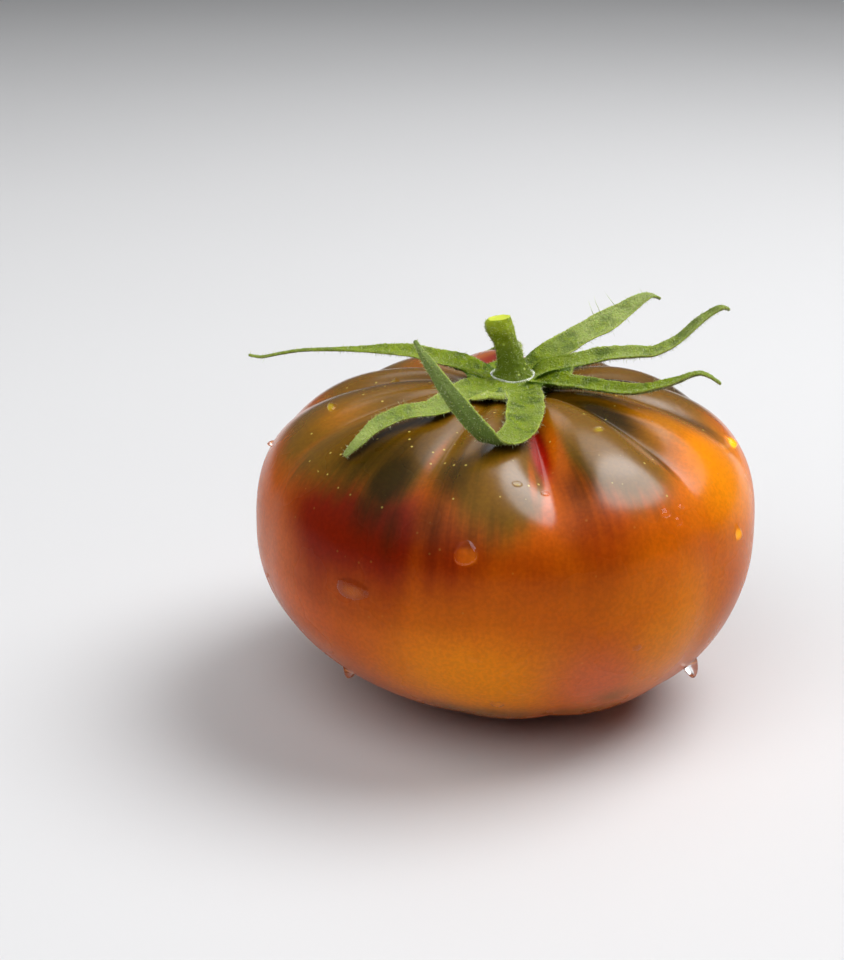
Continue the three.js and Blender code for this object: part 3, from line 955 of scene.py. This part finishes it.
def make_stem_material():
    """Stalk: olive green, lighter to the top, dotted with pale glands, pale yellow green at the cut."""
    material, tree, shader = new_material("stem_stalk")
    cloud = rough_noise(tree, 500.0, detail=4.0)
    grain = rough_noise(tree, 3000.0, detail=3.0)
    high = ramp(tree, stored(tree, "high"), 0.35, 1.0)
    light = times(tree, high, ramp(tree, cloud, 0.3, 0.7, 0.5, 1.0))
    specks = use_group(tree, DOTS, Scale=1000.0, Size=0.34, Share=0.35)
    colour = lay(tree, STEM_OLIVE, (light, STEM_LIGHT), (stored(tree, "cut"), CUT_PALE),
                 (times(tree, specks, 0.6), LEAF_PALE))
    height = compute(tree, "ADD", grain, specks)
    bump = add_node(tree, "Bump", {"Strength": 0.4, "Distance": 0.0002, "Height": height})
    feed(tree, shader, Base_Color=colour, Normal=bump.outputs[0], Roughness=0.42, Subsurface_Weight=0.2,
         Subsurface_Radius=(0.5, 1.0, 0.15), Subsurface_Scale=0.001, IOR=1.42)
    return material


# Hairs

# Long hairs: how far right each one stands and how much it leans
LONG_HAIRS = ((10.6, -0.35), (11.6, -0.55), (14.2, -0.7))
LONG_HAIR_RISE = 0.9
LONG_HAIR_LENGTH = 3.0
LONG_HAIR_THICKNESS = 0.06
HAIR_SIDES = 3
HAIR_GREEN = (0.40, 0.50, 0.14, 1)
HAIR_PALE = (0.68, 0.75, 0.40, 1)


def hair_mesh(name, roots, directions, lengths, thickness, generator):
    """Short tapering bent hairs as one mesh; roots and lengths in millimetres."""
    count = len(roots)
    side = unit(np.cross(directions, generator.normal(size=(count, 3))))
    other = np.cross(directions, side)
    bend = side * (generator.uniform(-0.25, 0.25, count) * lengths)[:, None]
    levels = ((-0.05, 1.0, 0.0), (0.5, 0.75, 0.3))
    points = []
    for up, width, bent in levels:
        centre = roots + directions * (lengths * up)[:, None] + bend * bent
        for k in range(HAIR_SIDES):
            angle = 2 * math.pi * k / HAIR_SIDES
            out = side * math.cos(angle) + other * math.sin(angle)
            points.append(centre + out * (thickness * width)[:, None])
    points.append(roots + directions * lengths[:, None] + bend)
    stacked = np.stack(points, 1).reshape(-1, 3)
    faces = []
    for hair in range(count):
        foot = hair * (2 * HAIR_SIDES + 1)
        knee = foot + HAIR_SIDES
        faces.append((foot + 2, foot + 1, foot))
        for k in range(HAIR_SIDES):
            after = (k + 1) % HAIR_SIDES
            faces.append((foot + k, foot + after, knee + after, knee + k))
            faces.append((knee + k, knee + after, knee + HAIR_SIDES))
    return new_piece(name, stacked, faces)


def scatter_roots(mesh, count, weights, generator):
    """Random points on a mesh's faces with their normals, in millimetres, by area times weight."""
    triangles = mesh.loop_triangles
    mesh.calc_loop_triangles()
    size = len(triangles)
    corners = np.empty(size * 3, np.int32)
    triangles.foreach_get("vertices", corners)
    corners = corners.reshape(-1, 3)
    areas = np.empty(size, np.float32)
    triangles.foreach_get("area", areas)
    co = vertex_points(mesh)
    chance = areas * weights[corners].mean(1)
    chosen = generator.choice(size, count, p=chance / chance.sum())
    a, b, c = (co[corners[chosen, k]] for k in range(3))
    u, v = generator.uniform(size=(2, count, 1))
    flip = u + v > 1
    u = np.where(flip, 1 - u, u)
    v = np.where(flip, 1 - v, v)
    normals = np.cross(b - a, c - a)
    normals /= np.maximum(np.linalg.norm(normals, axis=1, keepdims=True), 1e-9)
    return a + (b - a) * u + (c - a) * v, normals


def make_down(name, host, slot, weights, seed, count, lean, lengths, thickness):
    """Short hairs scattered on a piece; lengths are a lognormal middle and spread, the least and the most."""
    generator = np.random.default_rng(seed)
    roots, normals = scatter_roots(host.data, count, weights, generator)
    directions = unit(normals + generator.normal(scale=lean, size=(count, 3)))
    middle, spread, least, most = lengths
    length = np.clip(generator.lognormal(middle, spread, count), least, most)
    piece = hair_mesh(name, roots, directions, length, np.full(count, thickness), generator)
    carry(piece, slot, HAIR)


def make_calyx_hairs(calyx):
    """Down all over the calyx, thickest along the edges."""
    weights = 0.35 + 1.4 * read_attribute(calyx.data, "edge") ** 3
    make_down("calyx_hairs", calyx, "calyx", weights, seed=5, count=9000, lean=0.45,
              lengths=(-0.95, 0.45, 0.15, 1.8), thickness=0.031)


def make_long_hairs():
    """A few long hairs that stand up from the edge of the broad sepal."""
    edge = blade_points("broad_right_back")[2][:, -1]
    roots = np.array([edge[np.argmin(np.abs(edge[:, 0] - place))] for place, _ in LONG_HAIRS])
    directions = unit(np.array([(lean, 0, LONG_HAIR_RISE) for _, lean in LONG_HAIRS]))
    lengths = np.full(len(LONG_HAIRS), LONG_HAIR_LENGTH)
    thickness = np.full(len(LONG_HAIRS), LONG_HAIR_THICKNESS)
    piece = hair_mesh("calyx_long_hairs", roots, directions, lengths, thickness, np.random.default_rng(4))
    carry(piece, "calyx", HAIR)


def make_stem_hairs(stem):
    """Fine short down on the stub, but not on its cut."""
    weights = 1 - read_attribute(stem.data, "cut")
    make_down("stem_hairs", stem, "stem", weights, seed=8, count=1400, lean=0.35,
              lengths=(-1.3, 0.4, 0.1, 0.9), thickness=0.03)


def make_hair_material():
    """Hairs: soft and pale green, lighter in places."""
    material, tree, shader = new_material("plant_hair")
    tone = rough_noise(tree, 700.0, detail=2.0)
    colour = blend(tree, ramp(tree, tone, 0.35, 0.65), HAIR_GREEN, HAIR_PALE)
    feed(tree, shader, Base_Color=colour, Roughness=0.35, Subsurface_Weight=0.4,
         Subsurface_Radius=(1, 1, 0.6), Subsurface_Scale=0.0003)
    return material


HAIR = make_hair_material()


# Water

DROP_RINGS = 18
DROP_SIDES = 40
DROP_SINK = 0.12
DROP_WOBBLE = 0.05

# Small beads all round the shoulder, and along the front furrow
BEADS = 46
BEAD_POLARS = (14, 30, 80)
BEAD_SIZES = (0.14, 0.3)
BEAD_FLATNESS = 0.7
FURROW_BEADS = 14
FURROW_BEAD_AZIMUTHS = (-81, -76)
FURROW_BEAD_POLARS = (24, 44)
FURROW_BEAD_SIZES = (0.12, 0.22)

# The ring of water at the stem's foot
RING_SIDES = 120
RING_TUBE_SIDES = 10
RING_RADIUS = 3.75
RING_LIFT = 0.3
RING_THICKNESS = 0.2

WATER_COOL = (0.97, 0.98, 1.0, 1)
WATER_CLEAR = (1.0, 1.0, 1.0, 1)


def drop_mesh(azimuth, polar, half_width, half_length, height, sag):
    """One drop: a dome that stands on the skin, fuller at its lower end."""
    turn = np.linspace(0, 2 * math.pi, DROP_SIDES, endpoint=False)
    around = BELT_RADIUS * math.sin(math.radians(polar))
    rings = []
    for ring in range(1, DROP_RINGS + 1):
        out = math.sin(0.5 * math.pi * ring / DROP_RINGS)
        across = half_width * out * np.sin(turn) * (1 + DROP_WOBBLE * np.sin(3 * turn + azimuth))
        down = half_length * out * np.cos(turn) * (1 + DROP_WOBBLE * np.cos(2 * turn + azimuth))
        lower = np.clip(0.5 + 0.5 * down / half_length, 0, 1)
        across *= 0.6 + 0.7 * lower
        at_azimuth = azimuth + np.degrees(across / around)
        at_polar = polar + np.degrees(down / BELT_RADIUS)
        up = height * math.sqrt(max(1 - out ** 2, 0)) * (0.35 + 1.2 * lower)
        foot = skin_point(at_azimuth, at_polar)
        normal = skin_normal(at_azimuth, at_polar)
        point = foot + normal * (up - DROP_SINK)[:, None]
        point[:, 2] -= sag * (up / height) ** 2
        rings.append(point)
    centre = skin_point([azimuth], [polar])[0]
    normal = skin_normal([azimuth], [polar])[0]
    top = centre + normal * (0.95 * height - DROP_SINK) - np.array([0, 0, sag])
    under = centre - normal * (DROP_SINK * 3)
    points = np.concatenate([[top], np.concatenate(rings), [under]])
    return points, loft_faces(DROP_RINGS, DROP_SIDES)


def make_drops():
    """The drops of the table, and a scatter of small beads on the shoulder and in the front furrow."""
    parts = [drop_mesh(*drop) for drop in DROPS]
    generator = np.random.default_rng(21)
    for _ in range(BEADS):
        azimuth = generator.uniform(-180, 180)
        polar = generator.triangular(*BEAD_POLARS)
        size = generator.uniform(*BEAD_SIZES)
        parts.append(drop_mesh(azimuth, polar, size, size, size * BEAD_FLATNESS, 0.0))
    for _ in range(FURROW_BEADS):
        size = generator.uniform(*FURROW_BEAD_SIZES)
        azimuth = generator.uniform(*FURROW_BEAD_AZIMUTHS)
        polar = generator.uniform(*FURROW_BEAD_POLARS)
        parts.append(drop_mesh(azimuth, polar, size, size, size, 0.0))
    piece = join_meshes("water_drops", parts)
    piece.visible_shadow = False
    carry(piece, "water", WATER)


def make_ring():
    """The thin ring of water held round the stem's foot."""
    points = []
    faces = []
    for k in range(RING_SIDES):
        turn = 2 * math.pi * k / RING_SIDES
        radius = RING_RADIUS + 0.08 * math.sin(3 * turn)
        lift = DISC_TOP + RING_LIFT + 0.15 * math.sin(turn) + 0.06 * math.sin(2 * turn + 1)
        thick = RING_THICKNESS + 0.05 * math.sin(turn * 5)
        start = k * RING_TUBE_SIDES
        after = (k + 1) % RING_SIDES * RING_TUBE_SIDES
        for m in range(RING_TUBE_SIDES):
            tube = 2 * math.pi * m / RING_TUBE_SIDES
            reach = radius + thick * math.cos(tube)
            points.append([CROWN[0] + reach * math.cos(turn), CROWN[1] + reach * math.sin(turn),
                           lift + thick * math.sin(tube)])
            following = (m + 1) % RING_TUBE_SIDES
            faces.append((start + m, after + m, after + following, start + following))
    piece = new_piece("water_ring", np.array(points), faces)
    piece.visible_shadow = False
    carry(piece, "water", MENISCUS)


def make_water_material(name, clearness, roughness):
    """Water, very slightly rippled, and milky where it is less clear."""
    material, tree, shader = new_material(name)
    swirl = rough_noise(tree, 400.0, detail=1.0)
    bump = add_node(tree, "Bump", {"Strength": 0.05, "Distance": 0.0002, "Height": swirl})
    tint = blend(tree, ramp(tree, swirl, 0.3, 0.7), WATER_COOL, WATER_CLEAR)
    feed(tree, shader, Base_Color=tint, Normal=bump.outputs[0], Metallic=0.0, Roughness=roughness,
         Transmission_Weight=clearness, IOR=1.333)
    return material


WATER = make_water_material("clear_water", 1.0, 0.02)
# The ring's water is milky white: a painted highlight that makes the thin ring read as a pale line
MENISCUS = make_water_material("milky_highlight_water", 0.8, 0.12)


# Stage, light and camera

LIGHT_AIM = (-0.005, 0, 0.035)
SOFTBOX_LAYERS = (1.15, 1.0, 0.85, 0.7)
SKY_LOW = 0.09
SKY_HIGH = 0.13
SKY_EDGE = 0.75
SKY_COLOUR = (0.95, 0.98, 1.0, 1)
FLOOR_HALF = 4000
FLOOR_GAP = 0.05
FLOOR_DARKER = (0.69, 0.69, 0.70, 1)
FLOOR_LIGHTER = (0.73, 0.73, 0.74, 1)

# Softboxes: name, place in metres, width, height, power, and whether the skin mirrors it
SOFTBOXES = (
    ("back_softbox", (-0.16, 0.62, 0.58), 0.26, 0.2, 0.35, True),
    ("top_softbox", (0.20, 0.40, 0.74), 0.5, 0.42, 2.0, True),
    ("right_softbox", (0.41, 0.13, 0.70), 0.62, 0.56, 8.8, True),
    ("front_softbox", (-0.26, -0.46, 0.72), 0.9, 0.8, 8.0, False),
)


def make_floor():
    """A plain pale floor that fills the view."""
    corners = FLOOR_HALF * np.array([(-1, -1, 0), (1, -1, 0), (1, 1, 0), (-1, 1, 0)], float)
    floor = new_piece("floor", corners - (0, 0, FLOOR_GAP), [(0, 1, 2, 3)], smooth=False)
    material, tree, shader = new_material("pale_floor")
    tone = rough_noise(tree, 3.0, detail=2.0)
    colour = blend(tree, tone, FLOOR_DARKER, FLOOR_LIGHTER)
    feed(tree, shader, Base_Color=colour, Roughness=0.6, Specular_IOR_Level=0.2)
    floor.data.materials.append(material)


def make_softbox(name, place, width, height, power, mirrored):
    """A round light aimed at the fruit, brightest in its middle."""
    for layer, share in enumerate(SOFTBOX_LAYERS):
        data = bpy.data.lights.new(f"{name}_{layer}", "AREA")
        data.shape = "ELLIPSE"
        data.size = width * share
        data.size_y = height * share
        data.energy = power * share * share / sum(other * other for other in SOFTBOX_LAYERS)
        lamp = bpy.data.objects.new(data.name, data)
        lamp.visible_glossy = mirrored
        lamp.location = place
        lamp.rotation_euler = (Vector(LIGHT_AIM) - Vector(place)).to_track_quat("-Z", "Y").to_euler()
        bpy.context.scene.collection.objects.link(lamp)


def make_world():
    """Soft light from overhead that fades to dark towards the horizon."""
    world = bpy.data.worlds.new("surroundings")
    world.use_nodes = True
    tree = world.node_tree
    background = tree.nodes["Background"]
    direction = add_node(tree, "TexCoord").outputs["Generated"]
    height = add_node(tree, "SeparateXYZ", {0: direction}).outputs[2]
    strength = ramp(tree, height, SKY_EDGE, 1.0, SKY_LOW, SKY_HIGH)
    background.inputs["Color"].default_value = SKY_COLOUR
    tree.links.new(strength, background.inputs["Strength"])
    bpy.context.scene.world = world


def make_camera():
    """The photograph's view: above and in front, turned so that the fruit's middle falls on its pixel."""
    focal_pixels = VIEW_DISTANCE * FRUIT_WIDTH_PIXELS / FRUIT_WIDTH
    across = (AIM_PIXEL[0] - FRAME_WIDTH / 2) / focal_pixels
    down = (AIM_PIXEL[1] - FRAME_HEIGHT / 2) / focal_pixels
    length = math.sqrt(across ** 2 + down ** 2 + 1)
    across, down, ahead = across / length, down / length, 1 / length
    pitch = math.asin(math.sin(VIEW_ELEVATION) / math.hypot(down, ahead)) - math.atan2(down, ahead)
    turn = math.atan2(across, ahead * math.cos(pitch) - down * math.sin(pitch))
    data = bpy.data.cameras.new("camera")
    data.sensor_fit = "VERTICAL"
    data.sensor_height = SENSOR_HEIGHT
    data.lens = SENSOR_HEIGHT * focal_pixels / FRAME_HEIGHT
    data.clip_start = NEAREST_SEEN
    camera = bpy.data.objects.new("camera", data)
    back = Vector((0, -math.cos(VIEW_ELEVATION), math.sin(VIEW_ELEVATION)))
    camera.location = (Vector(AIM) + back * VIEW_DISTANCE) * MM
    camera.rotation_euler = (math.pi / 2 - pitch, 0, turn)
    bpy.context.scene.collection.objects.link(camera)
    bpy.context.scene.camera = camera


make_camera()
make_floor()
make_world()
for softbox in SOFTBOXES:
    make_softbox(*softbox)
make_fruit()
calyx = make_calyx()
stem = make_stem()
make_calyx_hairs(calyx)
make_long_hairs()
make_stem_hairs(stem)
make_drops()
make_ring()
bpy.context.scene.view_settings.view_transform = "Standard"
